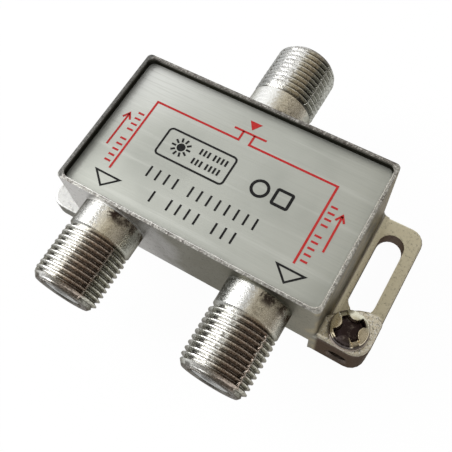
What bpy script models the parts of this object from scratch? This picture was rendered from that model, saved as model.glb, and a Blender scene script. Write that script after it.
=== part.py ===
# Two-way coaxial splitter: a die-cast tray with three threaded ports, closed by a pressed-in cover.
# Metres, +Z up. X runs along the front with the two outputs, the input port points to +Y.

import math

import bmesh
import bpy
from mathutils import Matrix, Vector

# Seats and running gaps
seat_gap = 0.0003

# Casting: the tray
body_width = 0.0390
body_depth = 0.02275
total_height = 0.0166
wall_thickness = 0.0014
floor_rise = 0.0034
floor_thickness = 0.0012
underside_round = 0.0006
corner_radius = 0.0007
rim_width = 0.00055
rim_round = 0.00012
rail_inset = 0.0008
cavity_corner = 0.0010

# Casting: the two mounting ears
ear_reach = 0.0069
flange_thickness = 0.0025
flange_round = 0.0003
ear_corner = 0.0022
ear_fillet = 0.0010
ear_front_inset = 0.00006
ear_back_inset = 0.00035
slot_width = 0.0038
slot_length = 0.0132
slot_outer_margin = 0.00193
slot_back_margin = 0.0023

# Casting: the ground block on the right ear
block_height = 0.0070
block_depth = 0.0067
block_waist = 0.0032
block_round = 0.0006
block_back_corner = 0.0012
wire_hole_diameter = 0.0028
wire_hole_height = 0.0026
wire_hole_flare = 0.0004

# Casting: the ports
port_inset = 0.00819
port_axis_below_rim = 0.00543
port_length = 0.0123
port_neck_length = 0.0036
port_neck_diameter = 0.0093
thread_diameter = 0.0094
thread_pitch = 0.000794
thread_height_ratio = 0.6134
port_end_chamfer = 0.0006
port_end_face_diameter = 0.0080
port_bore_diameter = 0.0058
port_bore_chamfer = 0.0002

# Cover plate
cover_drop = 0.0011
cover_thickness = 0.0005
cover_corner = 0.0006

# Port insulators and contacts
insulator_recess = 0.0002
funnel_diameter = 0.0022
funnel_depth = 0.0006
funnel_step = 0.0003
contact_diameter = 0.0014
contact_hole_diameter = 0.0008
contact_hole_depth = 0.0045
contact_recess = 0.0012
contact_reach = 0.0018

# Circuit board and the posts it rests on
board_margin = 0.0006
board_thickness = 0.0010
board_corner = 0.0005
post_size = 0.0024

# Two-hole transformer cores and their windings
core_width = 0.0064
core_height = 0.0034
core_side_round = 0.0015
core_length = 0.0034
core_hole_diameter = 0.0017
core_hole_spacing = 0.0030
winding_wire = 0.0003
winding_turns = 2
winding_turn_rise = 0.0005
winding_overhang = 0.0005
winding_bend = 0.0002
matching_contact_gap = 0.0006
core_spacing = 0.0054

# Power chokes: a ferrite rod in a coil
choke_rod_diameter = 0.0016
choke_rod_length = 0.0050
choke_wire = 0.0004
choke_pitch = 0.0007
choke_turns = 6
choke_coil_steps = 8
side_choke_contact_gap = 0.0032
input_choke_x = -0.0088
input_choke_inset = 0.0035

# Small parts on the board
capacitor_length = 0.0020
capacitor_width = 0.0013
capacitor_height = 0.0010
output_capacitor_offset = 0.0042
output_capacitor_inset = 0.0035
input_capacitor_x = 0.0052
input_capacitor_inset = 0.0033
resistor_diameter = 0.0016
resistor_length = 0.0034
diode_diameter = 0.0020
diode_length = 0.0042
lead_diameter = 0.0005
lead_length = 0.0016
body_end_round = 0.00018
resistor_inset = 0.0022
diode_inset = 0.0034
diode_y = 0.0012

# Ground screw
screw_front_inset = 0.00275
screw_side_inset = 0.0035
screw_diameter = 0.0033
screw_flange_diameter = 0.0054
screw_flange_height = 0.0005
screw_head_diameter = 0.0049
screw_head_height = 0.0018
screw_head_side = 0.0006
screw_crown_rise = 0.0004
screw_crown_diameter = 0.0043
screw_top_diameter = 0.0030
screw_recess_width = 0.0010
screw_recess_round = 0.0003
screw_recess_depth = 0.0011
screw_recess_length = 0.0040
screw_recess_turn = math.radians(29)
screw_tip_chamfer = 0.0004

# How round curves are drawn
port_segments = 48
thread_steps = 32
small_segments = 24
corner_segments = 5
overlap = 0.0004

# Sizes worked out from those above
half_width = body_width / 2
half_depth = body_depth / 2
ear_front = -half_depth + ear_front_inset
ear_back = half_depth - ear_back_inset
port_axis = total_height - port_axis_below_rim
thread_depth = thread_height_ratio * thread_pitch
core_radius = thread_diameter / 2 - thread_depth
neck_radius = port_neck_diameter / 2
bore_radius = port_bore_diameter / 2
contact_radius = contact_diameter / 2
floor_top = floor_rise + floor_thickness
ledge_height = total_height - cover_drop - cover_thickness - seat_gap
recess_half_width = half_width - rim_width
recess_half_depth = half_depth - rim_width
cavity_half_width = half_width - wall_thickness
cavity_half_depth = half_depth - wall_thickness
ear_end = half_width + ear_reach
rail_edge = half_width - rail_inset
slot_outer_edge = ear_end - slot_outer_margin
slot_x = slot_outer_edge - slot_width / 2
slot_back = ear_back - slot_back_margin
slot_front = slot_back - slot_length
block_back = -half_depth + block_depth
screw_x = ear_end - screw_side_inset
screw_y = -half_depth + screw_front_inset
port_x = half_width - port_inset
neck_end = half_depth + port_neck_length
port_end = half_depth + port_length
insulator_mouth = port_end - insulator_recess
contact_end = half_depth - wall_thickness - contact_reach
board_top = port_axis - contact_radius - seat_gap
board_bottom = board_top - board_thickness
parts_seat = board_top + seat_gap
lead_radius = lead_diameter / 2
choke_radius = choke_rod_diameter / 2 + seat_gap + choke_wire
winding_reach = core_length / 2 + winding_overhang
matching_core_y = contact_end - matching_contact_gap - winding_wire / 2 - winding_reach
splitter_core_y = matching_core_y - core_spacing
side_choke_y = -contact_end + side_choke_contact_gap + choke_rod_length / 2
input_choke_y = cavity_half_depth - input_choke_inset
output_capacitor_x = port_x - output_capacitor_offset
output_capacitor_y = -cavity_half_depth + output_capacitor_inset
input_capacitor_y = cavity_half_depth - input_capacitor_inset
resistor_y = -cavity_half_depth + resistor_inset
diode_x = cavity_half_width - diode_inset


def clear_scene():
    for item in list(bpy.data.objects):
        bpy.data.objects.remove(item, do_unlink=True)


def make_material(name, colour, metallic, roughness):
    material = bpy.data.materials.new(name)
    material.use_nodes = True
    shader = material.node_tree.nodes["Principled BSDF"]
    shader.inputs["Base Color"].default_value = (*colour, 1.0)
    shader.inputs["Metallic"].default_value = metallic
    shader.inputs["Roughness"].default_value = roughness
    material.diffuse_color = (*colour, 1.0)
    return material


def add_object(name, mesh_builder, material=None):
    """The finished bmesh becomes an object, with normals facing out and sharp edges kept sharp."""
    mesh = bpy.data.meshes.new(name)
    bmesh.ops.recalc_face_normals(mesh_builder, faces=mesh_builder.faces)
    mesh_builder.to_mesh(mesh)
    mesh_builder.free()
    if material:
        mesh.materials.append(material)
    made = bpy.data.objects.new(name, mesh)
    bpy.context.scene.collection.objects.link(made)
    mesh.shade_smooth()
    mesh.set_sharp_from_angle(angle=math.radians(35))
    return made


def rounded_outline(low_x, high_x, low_y, high_y, radii):
    """Points anticlockwise round a rectangle, with radii for its corners from (low, low) on."""
    corners = [(low_x, low_y, 180), (high_x, low_y, 270), (high_x, high_y, 0), (low_x, high_y, 90)]
    middle_x = (low_x + high_x) / 2
    middle_y = (low_y + high_y) / 2
    points = []
    for (x, y, first), radius in zip(corners, radii):
        if radius <= 0:
            points.append((x, y))
            continue
        centre_x = x + math.copysign(radius, middle_x - x)
        centre_y = y + math.copysign(radius, middle_y - y)
        for step in range(corner_segments + 1):
            angle = math.radians(first + 90 * step / corner_segments)
            points.append((centre_x + radius * math.cos(angle), centre_y + radius * math.sin(angle)))
    return points


def circle_outline(centre_x, centre_y, radius, segments):
    points = []
    for step in range(segments):
        angle = 2 * math.pi * step / segments
        points.append((centre_x + radius * math.cos(angle), centre_y + radius * math.sin(angle)))
    return points


def prism(outline, low, high, top_round=0.0, bottom_round=0.0, segments=3):
    """An outline in the XY plane, raised from low to high, with its top and bottom edges rounded."""
    builder = bmesh.new()
    base = builder.faces.new([builder.verts.new((x, y, low)) for x, y in outline])
    raised = bmesh.ops.extrude_face_region(builder, geom=[base])
    lifted = [item for item in raised["geom"] if isinstance(item, bmesh.types.BMVert)]
    bmesh.ops.translate(builder, verts=lifted, vec=(0, 0, high - low))
    for level, amount in ((high, top_round), (low, bottom_round)):
        if amount <= 0:
            continue
        rim = [edge for edge in builder.edges if all(abs(v.co.z - level) < 1e-7 for v in edge.verts)]
        bmesh.ops.bevel(
            builder, geom=rim, offset=amount, segments=segments, profile=0.5, affect="EDGES", clamp_overlap=True
        )
    return builder


def turned(profile, segments):
    """A closed outline of (along, radius) pairs, spun round the Y axis."""
    builder = bmesh.new()
    ring = [builder.verts.new((radius, along, 0)) for along, radius in profile]
    edges = [builder.edges.new((a, b)) for a, b in zip(ring, ring[1:])]
    if profile[0][1] > 0:
        edges.append(builder.edges.new((ring[-1], ring[0])))
    bmesh.ops.spin(
        builder, geom=ring + edges, cent=(0, 0, 0), axis=(0, 1, 0), angle=2 * math.pi, steps=segments, use_merge=True
    )
    bmesh.ops.remove_doubles(builder, verts=builder.verts, dist=1e-7)
    return builder


def place(builder, location, turn=None):
    matrix = Matrix.Translation(Vector(location)) @ (turn or Matrix.Identity(4))
    bmesh.ops.transform(builder, matrix=matrix, verts=builder.verts)
    return builder


def facing(direction):
    """A turn that takes the Y axis to the given axis name."""
    if direction == "-Y":
        return Matrix.Rotation(math.pi, 4, "Z")
    if direction == "+X":
        return Matrix.Rotation(-math.pi / 2, 4, "Z")
    if direction == "+Z":
        return Matrix.Rotation(math.pi / 2, 4, "X")
    return Matrix.Identity(4)


def helper(name, builder, group):
    """A shape that only adds to or cuts another one."""
    made = add_object(name, builder)
    made.hide_render = True
    made.display_type = "WIRE"
    bpy.context.scene.collection.objects.unlink(made)
    group.objects.link(made)
    return made


def helper_group(name):
    group = bpy.data.collections.new(name)
    bpy.context.scene.collection.children.link(group)
    group.hide_render = True
    return group


def combine(target, group, operation):
    step = target.modifiers.new(group.name, "BOOLEAN")
    step.operation = operation
    step.operand_type = "COLLECTION"
    step.collection = group
    step.solver = "EXACT"


def fillet_strip(level, radius, low_y, high_y, side):
    """A concave corner strip between the tray's side and a face at the given level."""
    inside = half_width - corner_radius - overlap / 2
    corner_x = half_width + radius
    corner_z = level + radius
    section = [(inside, level - overlap), (corner_x, level - overlap), (corner_x, level)]
    for step in range(1, corner_segments):
        angle = math.radians(270 - 90 * step / corner_segments)
        section.append((corner_x + radius * math.cos(angle), corner_z + radius * math.sin(angle)))
    section.append((half_width, corner_z))
    section.append((inside, corner_z))
    builder = bmesh.new()
    face = builder.faces.new([builder.verts.new((side * x, low_y, z)) for x, z in section])
    raised = bmesh.ops.extrude_face_region(builder, geom=[face])
    moved = [item for item in raised["geom"] if isinstance(item, bmesh.types.BMVert)]
    bmesh.ops.translate(builder, verts=moved, vec=(0, high_y - low_y, 0))
    return builder


def mirrored_outline(outline, side):
    return outline if side > 0 else [(-x, y) for x, y in reversed(outline)]


def ear_flange(side):
    inner = rail_edge - overlap
    outline = rounded_outline(inner, ear_end, ear_front, ear_back, (0, ear_corner, ear_corner, 0))
    return prism(mirrored_outline(outline, side), 0, flange_thickness, flange_round, 0, 2)


def ground_block():
    """The block is deepest at its outer side, and its back curves in towards the tray."""
    inner = rail_edge - overlap
    outline = rounded_outline(half_width, ear_end, ear_front, block_back, (0, ear_corner, block_back_corner, 0))
    outline = [(inner, ear_front)] + outline[1:-1]
    curve_end = ear_end - block_back_corner
    for step in range(1, corner_segments + 1):
        part = step / corner_segments
        outline.append((curve_end + (half_width - curve_end) * part, block_back - block_waist * part ** 2))
    outline.append((inner, block_back - block_waist))
    return prism(outline, 0, block_height, block_round, 0, 3)


def thread_column(turn, first, last):
    """Core and crest points along the port at one place round it, where turn goes from 0 to 1."""
    column = []
    for half_turn in range(2 * math.ceil((last - first) / thread_pitch + 1) + 1):
        along = first + (half_turn / 2 + turn - 1) * thread_pitch
        along = min(max(along, first), last)
        run_out = min(1, 2 * (along - first) / thread_pitch, 2 * (last - along) / thread_pitch)
        height = thread_depth * run_out if half_turn % 2 else 0
        column.append((along, core_radius + height))
    return column


def port_barrel():
    """A plain neck, a right-handed thread that runs out at both ends, and a chamfered end."""
    thread_start = neck_end + max(neck_radius - core_radius, 0)
    thread_end = port_end - port_end_chamfer
    neck = [(half_depth - wall_thickness / 2, neck_radius), (neck_end, neck_radius)]
    end_face = [(port_end, min(port_end_face_diameter / 2, core_radius))]
    builder = bmesh.new()
    before = []
    for step in range(thread_steps + 1):
        turn = step / thread_steps
        angle = 2 * math.pi * turn
        column = [
            builder.verts.new((radius * math.sin(angle), along, radius * math.cos(angle)))
            for along, radius in neck + thread_column(turn, thread_start, thread_end) + end_face
        ]
        for a, b, c, d in zip(before, before[1:], column[1:], column):
            builder.faces.new((a, b, c, d))
        before = column
    bmesh.ops.remove_doubles(builder, verts=builder.verts, dist=1e-7)
    open_rims = [edge for edge in builder.edges if edge.is_boundary]
    bmesh.ops.holes_fill(builder, edges=open_rims, sides=thread_steps)
    return builder


def port_bore():
    profile = [
        (half_depth - wall_thickness - overlap, 0),
        (half_depth - wall_thickness - overlap, bore_radius),
        (port_end - port_bore_chamfer, bore_radius),
        (port_end, bore_radius + port_bore_chamfer),
        (port_end + overlap, bore_radius + port_bore_chamfer),
        (port_end + overlap, 0),
    ]
    return turned(profile, port_segments)


ports = (("in", 0.0, "+Y"), ("out_left", -port_x, "-Y"), ("out_right", port_x, "-Y"))


def underside_channel():
    """The space under the tray, between the two side rails, open to front and back."""
    reach = half_depth + overlap
    low_arc = -half_depth + underside_round
    top = floor_rise + underside_round
    section = [(-reach, -overlap), (reach, -overlap), (reach, top), (half_depth, top)]
    for step in range(1, corner_segments + 1):
        angle = math.radians(-90 * step / corner_segments)
        section.append((-low_arc + underside_round * math.cos(angle), top + underside_round * math.sin(angle)))
    for step in range(corner_segments):
        angle = math.radians(270 - 90 * step / corner_segments)
        section.append((low_arc + underside_round * math.cos(angle), top + underside_round * math.sin(angle)))
    section.append((-half_depth, top))
    section.append((-reach, top))
    builder = bmesh.new()
    face = builder.faces.new([builder.verts.new((-rail_edge, y, z)) for y, z in section])
    raised = bmesh.ops.extrude_face_region(builder, geom=[face])
    moved = [item for item in raised["geom"] if isinstance(item, bmesh.types.BMVert)]
    bmesh.ops.translate(builder, verts=moved, vec=(2 * rail_edge, 0, 0))
    return builder


def slot_cutter(side):
    radius = slot_width / 2
    outline = []
    for step in range(small_segments // 2 + 1):
        angle = 2 * math.pi * step / small_segments
        outline.append((slot_x + radius * math.cos(angle), slot_back - radius + radius * math.sin(angle)))
    for step in range(small_segments // 2 + 1):
        angle = math.pi + 2 * math.pi * step / small_segments
        outline.append((slot_x + radius * math.cos(angle), slot_front + radius + radius * math.sin(angle)))
    return prism(mirrored_outline(outline, side), -overlap, flange_thickness + overlap)


def wire_hole():
    """A straight hole through the ground block, flared at the front, that opens into the ear's slot."""
    radius = wire_hole_diameter / 2
    back = slot_front + slot_width / 2
    profile = [
        (-half_depth - overlap, 0),
        (-half_depth - overlap, radius + wire_hole_flare + overlap),
        (-half_depth + wire_hole_flare, radius),
        (back, radius),
        (back, 0),
    ]
    return place(turned(profile, small_segments), (screw_x, 0, wire_hole_height))


def build_housing(material):
    adds = helper_group("casting_adds")
    cuts = helper_group("casting_cuts")
    posts = helper_group("casting_posts")

    outline = rounded_outline(-half_width, half_width, -half_depth, half_depth, [corner_radius] * 4)
    housing = add_object("housing", prism(outline, 0, total_height, rim_round, 0, 2), material)

    helper("channel_cut", underside_channel(), cuts)
    for side, word in ((-1, "left"), (1, "right")):
        helper(f"{word}_flange", ear_flange(side), adds)
        low_y = ear_front if side < 0 else block_back - block_waist - overlap
        helper(f"{word}_fillet", fillet_strip(flange_thickness, ear_fillet, low_y, ear_back, side), adds)
        helper(f"{word}_slot_cut", slot_cutter(side), cuts)
    helper("ground_block", ground_block(), adds)

    for word, x, direction in ports:
        helper(f"port_{word}", place(port_barrel(), (x, 0, port_axis), facing(direction)), adds)
        helper(f"bore_{word}_cut", place(port_bore(), (x, 0, port_axis), facing(direction)), cuts)

    cavity = rounded_outline(
        -cavity_half_width, cavity_half_width, -cavity_half_depth, cavity_half_depth, [cavity_corner] * 4
    )
    helper("cavity_cut", prism(cavity, floor_top, total_height + overlap), cuts)
    recess = rounded_outline(
        -recess_half_width, recess_half_width, -recess_half_depth, recess_half_depth, [cover_corner + seat_gap] * 4
    )
    helper("cover_recess_cut", prism(recess, ledge_height, total_height + overlap), cuts)
    tap = circle_outline(screw_x, screw_y, screw_diameter / 2 + seat_gap, small_segments)
    helper("screw_hole_cut", prism(tap, wire_hole_height, block_height + overlap), cuts)
    helper("wire_hole_cut", wire_hole(), cuts)

    post_top = board_bottom - seat_gap
    for side in (-1, 1):
        for end in (-1, 1):
            inner_x = cavity_half_width - post_size
            inner_y = cavity_half_depth - post_size
            xs = sorted((side * inner_x, side * (cavity_half_width + overlap)))
            ys = sorted((end * inner_y, end * (cavity_half_depth + overlap)))
            square = rounded_outline(xs[0], xs[1], ys[0], ys[1], (0, 0, 0, 0))
            helper(f"post_{side}_{end}", prism(square, floor_top - overlap, post_top), posts)

    combine(housing, adds, "UNION")
    combine(housing, cuts, "DIFFERENCE")
    combine(housing, posts, "UNION")
    return housing


def build_cover(material):
    half_x = recess_half_width - seat_gap
    half_y = recess_half_depth - seat_gap
    outline = rounded_outline(-half_x, half_x, -half_y, half_y, [cover_corner] * 4)
    low = ledge_height + seat_gap
    return add_object("cover_plate", prism(outline, low, low + cover_thickness), material)


def build_insulator(word, x, direction, material):
    """A tube that fills the port's bore from its mouth to the inner wall, with a funnel for the wire."""
    outer = bore_radius - seat_gap
    inner = contact_radius + seat_gap
    back = half_depth - wall_thickness
    funnel_end = insulator_mouth - funnel_depth
    funnel = max(funnel_diameter / 2, inner + funnel_step)
    profile = [(back, inner), (back, outer), (insulator_mouth, outer), (insulator_mouth, funnel), (funnel_end, inner)]
    builder = place(turned(profile, small_segments), (x, 0, port_axis), facing(direction))
    return add_object(f"insulator_{word}", builder, material)


def build_contact(word, x, direction, material):
    """A spring contact that reaches from behind the insulator's mouth to over the board's edge."""
    mouth = insulator_mouth - contact_recess
    hole = contact_hole_diameter / 2
    profile = [
        (contact_end, 0),
        (contact_end, contact_radius),
        (mouth, contact_radius),
        (mouth, hole),
        (mouth - contact_hole_depth, hole),
        (mouth - contact_hole_depth - hole, 0),
    ]
    builder = place(turned(profile, small_segments // 2), (x, 0, port_axis), facing(direction))
    return add_object(f"contact_{word}", builder, material)


def build_board(material):
    half_x = cavity_half_width - board_margin
    half_y = cavity_half_depth - board_margin
    outline = rounded_outline(-half_x, half_x, -half_y, half_y, [board_corner] * 4)
    return add_object("circuit_board", prism(outline, board_bottom, board_top), material)


def rounded_route(points, bend, steps=3):
    """The straight route through points, with each corner eased over the length bend."""
    route = [Vector(points[0])]
    for before, corner, after in zip(points, points[1:], points[2:]):
        before, corner, after = Vector(before), Vector(corner), Vector(after)
        enter = corner + (before - corner).normalized() * bend
        leave = corner + (after - corner).normalized() * bend
        for step in range(steps + 1):
            t = step / steps
            route.append(enter * (1 - t) ** 2 + corner * 2 * t * (1 - t) + leave * t ** 2)
    route.append(Vector(points[-1]))
    return route


def wire(name, route, diameter, material):
    curve = bpy.data.curves.new(name, "CURVE")
    curve.dimensions = "3D"
    curve.bevel_depth = diameter / 2
    curve.bevel_resolution = 1
    curve.use_fill_caps = True
    spline = curve.splines.new("POLY")
    spline.points.add(len(route) - 1)
    for point, place_at in zip(spline.points, route):
        point.co = (*place_at, 1.0)
    curve.materials.append(material)
    made = bpy.data.objects.new(name, curve)
    bpy.context.scene.collection.objects.link(made)
    return made


def build_core(name, y, material):
    """A ferrite block with two round holes from front to back, standing on the board."""
    half_x = core_width / 2
    half_z = core_height / 2
    outline = rounded_outline(-half_x, half_x, -half_z, half_z, [core_side_round] * 4)
    builder = place(prism(outline, -core_length / 2, core_length / 2), (0, 0, 0), facing("+Z"))
    core = add_object(name, place(builder, (0, y, parts_seat + half_z)), material)
    holes = helper_group(f"{name}_holes")
    for side in (-1, 1):
        circle = circle_outline(side * core_hole_spacing / 2, 0, core_hole_diameter / 2, small_segments // 2)
        reach = core_length / 2 + overlap
        cutter = place(prism(circle, -reach, reach), (0, 0, 0), facing("+Z"))
        helper(f"{name}_hole_{side}", place(cutter, (0, y, parts_seat + half_z)), holes)
    combine(core, holes, "DIFFERENCE")
    return core


def build_winding(name, y, material):
    """Turns of wire through both holes of a core, with two ends down to the board."""
    across = core_hole_spacing / 2
    along = winding_reach
    centre = parts_seat + core_height / 2
    end_level = parts_seat + winding_wire / 2
    start = y - along - winding_overhang
    points = [(-across, start, end_level)]
    for turn in range(winding_turns):
        z = centre + (turn - (winding_turns - 1) / 2) * winding_turn_rise
        points.append((-across, y - along, z))
        points.append((-across, y + along, z))
        points.append((across, y + along, z))
        points.append((across, y - along, z))
    points.append((across, start, end_level))
    return wire(name, rounded_route(points, winding_bend), winding_wire, material)


def build_choke(word, x, y, direction, rod_material, wire_material):
    centre = parts_seat + choke_radius
    half = choke_rod_length / 2
    rod_profile = [(-half, 0), (-half, choke_rod_diameter / 2), (half, choke_rod_diameter / 2), (half, 0)]
    rod = place(turned(rod_profile, small_segments // 2), (x, y, centre), facing(direction))
    add_object(f"power_choke_rod_{word}", rod, rod_material)

    path_radius = choke_rod_diameter / 2 + seat_gap + choke_wire / 2
    steps = choke_turns * choke_coil_steps
    matrix = Matrix.Translation((x, y, centre)) @ facing(direction)
    route = []
    for step in range(steps + 1):
        angle = 2 * math.pi * step / choke_coil_steps
        along = (step / steps - 0.5) * choke_turns * choke_pitch
        route.append(matrix @ Vector((path_radius * math.cos(angle), along, path_radius * math.sin(angle))))
    wire(f"power_choke_coil_{word}", route, choke_wire, wire_material)


def build_capacitor(name, x, y, material):
    outline = rounded_outline(
        x - capacitor_length / 2, x + capacitor_length / 2, y - capacitor_width / 2, y + capacitor_width / 2, [0] * 4
    )
    return add_object(name, prism(outline, parts_seat, parts_seat + capacitor_height), material)


def build_axial_part(name, x, y, direction, diameter, length, material):
    """A round body with a straight lead at each end."""
    body = diameter / 2
    half = length / 2
    edge = body_end_round
    end = half + lead_length
    profile = [
        (-end, 0),
        (-end, lead_radius),
        (-half, lead_radius),
        (-half, body - edge),
        (-half + edge, body),
        (half - edge, body),
        (half, body - edge),
        (half, lead_radius),
        (end, lead_radius),
        (end, 0),
    ]
    builder = place(turned(profile, small_segments // 2), (x, y, parts_seat + body), facing(direction))
    return add_object(name, builder, material)


def build_ground_screw(material):
    """A flanged pan head with a cross recess, on a shank that ends inside the wire hole."""
    low = block_height + seat_gap
    flange_top = low + screw_flange_height
    shoulder = flange_top + screw_head_side
    top = low + screw_head_height
    head = screw_head_diameter / 2
    shank = screw_diameter / 2
    tip = wire_hole_height
    profile = [
        (tip, 0),
        (tip, shank - screw_tip_chamfer),
        (tip + screw_tip_chamfer, shank),
        (low, shank),
        (low, screw_flange_diameter / 2),
        (flange_top, screw_flange_diameter / 2),
        (flange_top, head),
        (shoulder, head),
        (shoulder + screw_crown_rise, screw_crown_diameter / 2),
        (top, screw_top_diameter / 2),
        (top, 0),
    ]
    builder = place(turned(profile, 2 * small_segments), (screw_x, screw_y, 0), facing("+Z"))
    screw = add_object("ground_screw", builder, material)
    recess = helper_group("screw_recess")
    for turn in (0, 90):
        half_long = screw_recess_length / 2
        half_wide = screw_recess_width / 2
        bar = rounded_outline(-half_long, half_long, -half_wide, half_wide, [screw_recess_round] * 4)
        angle = screw_recess_turn + math.radians(turn)
        cutter = prism(bar, top - screw_recess_depth, top + overlap)
        helper(f"recess_{turn}", place(cutter, (screw_x, screw_y, 0), Matrix.Rotation(angle, 4, "Z")), recess)
    combine(screw, recess, "DIFFERENCE")
    return screw


def build_part():
    clear_scene()
    plated = make_material("nickel_plated_zinc", (0.52, 0.51, 0.48), 1.0, 0.28)
    printed = make_material("printed_tinplate", (0.48, 0.50, 0.46), 0.8, 0.42)
    plastic = make_material("white_insulator", (0.82, 0.82, 0.80), 0.0, 0.45)
    spring = make_material("tinned_bronze", (0.72, 0.66, 0.52), 1.0, 0.3)
    laminate = make_material("board_laminate", (0.10, 0.30, 0.16), 0.0, 0.5)
    ferrite = make_material("ferrite", (0.06, 0.06, 0.065), 0.0, 0.6)
    copper = make_material("enamelled_copper", (0.60, 0.22, 0.08), 1.0, 0.35)
    ceramic = make_material("chip_ceramic", (0.55, 0.42, 0.28), 0.0, 0.5)
    film = make_material("resistor_body", (0.30, 0.44, 0.58), 0.0, 0.45)
    moulding = make_material("diode_body", (0.03, 0.03, 0.03), 0.0, 0.4)
    steel = make_material("plated_steel", (0.55, 0.52, 0.45), 1.0, 0.25)

    build_housing(plated)
    build_cover(printed)
    for word, x, direction in ports:
        build_insulator(word, x, direction, plastic)
        build_contact(word, x, direction, spring)
    build_board(laminate)
    build_core("splitter_core", splitter_core_y, ferrite)
    build_winding("splitter_winding", splitter_core_y, copper)
    build_core("matching_core", matching_core_y, ferrite)
    build_winding("matching_winding", matching_core_y, copper)
    build_choke("left", -port_x, side_choke_y, "-Y", ferrite, copper)
    build_choke("right", port_x, side_choke_y, "-Y", ferrite, copper)
    build_choke("in", input_choke_x, input_choke_y, "+X", ferrite, copper)
    build_capacitor("dc_block_capacitor_left", -output_capacitor_x, output_capacitor_y, ceramic)
    build_capacitor("dc_block_capacitor_right", output_capacitor_x, output_capacitor_y, ceramic)
    build_capacitor("dc_block_capacitor_in", input_capacitor_x, input_capacitor_y, ceramic)
    build_axial_part("isolation_resistor", 0, resistor_y, "+X", resistor_diameter, resistor_length, film)
    build_axial_part("steering_diode_left", -diode_x, diode_y, "+Y", diode_diameter, diode_length, moulding)
    build_axial_part("steering_diode_right", diode_x, diode_y, "+Y", diode_diameter, diode_length, moulding)
    build_ground_screw(steel)


build_part()
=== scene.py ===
# Looks of a two-way coaxial splitter, built around its solids. Metres, +Z up, the input port points to +Y.
import math

import bmesh
import bpy
from mathutils import Matrix, Vector


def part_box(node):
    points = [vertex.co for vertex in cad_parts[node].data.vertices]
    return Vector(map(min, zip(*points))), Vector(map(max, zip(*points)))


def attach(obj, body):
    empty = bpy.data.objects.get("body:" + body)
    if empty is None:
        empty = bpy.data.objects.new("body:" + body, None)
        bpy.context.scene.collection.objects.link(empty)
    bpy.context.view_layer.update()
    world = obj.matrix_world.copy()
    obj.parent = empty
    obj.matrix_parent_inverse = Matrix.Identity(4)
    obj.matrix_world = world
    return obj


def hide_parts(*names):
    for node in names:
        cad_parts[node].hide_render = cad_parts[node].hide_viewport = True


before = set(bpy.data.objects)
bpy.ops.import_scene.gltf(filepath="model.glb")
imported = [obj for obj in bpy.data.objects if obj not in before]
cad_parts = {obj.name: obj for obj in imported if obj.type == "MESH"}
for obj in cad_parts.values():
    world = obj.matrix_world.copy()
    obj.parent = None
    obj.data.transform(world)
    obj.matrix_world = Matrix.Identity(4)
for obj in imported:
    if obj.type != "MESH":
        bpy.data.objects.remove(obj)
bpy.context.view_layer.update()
print("solids loaded")

mm = 0.001


# Node helpers shared by all finishes
def startMaterial(name):
    material = bpy.data.materials.new(name)
    material.use_nodes = True
    tree = material.node_tree
    return material, tree, tree.nodes["Principled BSDF"]


def addNode(tree, kind, settings=None, values=None):
    node = tree.nodes.new(kind)
    for key, value in (settings or {}).items():
        setattr(node, key, value)
    for key, value in (values or {}).items():
        node.inputs[key].default_value = value
    return node


def math2(tree, operation, first, second=None, clamp=False):
    # one Math node; inputs are sockets or plain numbers
    node = addNode(tree, "ShaderNodeMath", {"operation": operation, "use_clamp": clamp})
    for index, value in enumerate((first, second)):
        if value is None:
            continue
        if isinstance(value, (int, float)):
            node.inputs[index].default_value = value
        else:
            tree.links.new(value, node.inputs[index])
    return node.outputs[0]


def rampValue(tree, value, start, end, first=0.0, last=1.0):
    # smooth change from first to last while value goes from start to end, up or down
    node = addNode(tree, "ShaderNodeMapRange", {"interpolation_type": "SMOOTHSTEP"})
    tree.links.new(value, node.inputs[0])
    for index, number in enumerate((start, end, first, last)):
        node.inputs[index + 1].default_value = number
    return node.outputs[0]


def mixColour(tree, factor, first, second, blend="MIX"):
    node = addNode(tree, "ShaderNodeMix", {"data_type": "RGBA", "blend_type": blend})
    for socket, value in zip((node.inputs[0], node.inputs[6], node.inputs[7]), (factor, first, second)):
        if isinstance(value, tuple):
            socket.default_value = (*value, 1.0)
        elif isinstance(value, (int, float)):
            socket.default_value = value
        else:
            tree.links.new(value, socket)
    return node.outputs[2]


def noiseAt(tree, place, scale, detail=3.0, roughness=0.55, stretch=None):
    # noise in object space, stretched along an axis where a finish has a grain
    if stretch:
        mapping = addNode(tree, "ShaderNodeMapping", values={"Scale": stretch})
        tree.links.new(place, mapping.inputs[0])
        place = mapping.outputs[0]
    values = {"Scale": scale, "Detail": detail, "Roughness": roughness}
    node = addNode(tree, "ShaderNodeTexNoise", values=values)
    tree.links.new(place, node.inputs["Vector"])
    return node.outputs[0]


def objectPlace(tree):
    place = addNode(tree, "ShaderNodeTexCoord").outputs["Object"]
    split = addNode(tree, "ShaderNodeSeparateXYZ")
    tree.links.new(place, split.inputs[0])
    return place, split.outputs[0], split.outputs[1], split.outputs[2]


def addBump(tree, shader, height, strength, distance):
    bump = addNode(tree, "ShaderNodeBump", values={"Strength": strength, "Distance": distance})
    tree.links.new(height, bump.inputs["Height"])
    tree.links.new(bump.outputs[0], shader.inputs["Normal"])


def product(tree, *values):
    result = values[0]
    for value in values[1:]:
        result = math2(tree, "MULTIPLY", result, value)
    return result


def without(tree, value, share=1.0):
    # 1 less a share of value
    return math2(tree, "SUBTRACT", 1.0, math2(tree, "MULTIPLY", value, share))


def above(tree, value, limit):
    return math2(tree, "GREATER_THAN", value, limit)


def below(tree, value, limit):
    return math2(tree, "LESS_THAN", value, limit)


def windowValue(tree, value, lowSide, highSide):
    # a band with two soft sides, each given as where it starts and where it is full
    return product(tree, rampValue(tree, value, *lowSide), rampValue(tree, value, *highSide))


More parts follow.
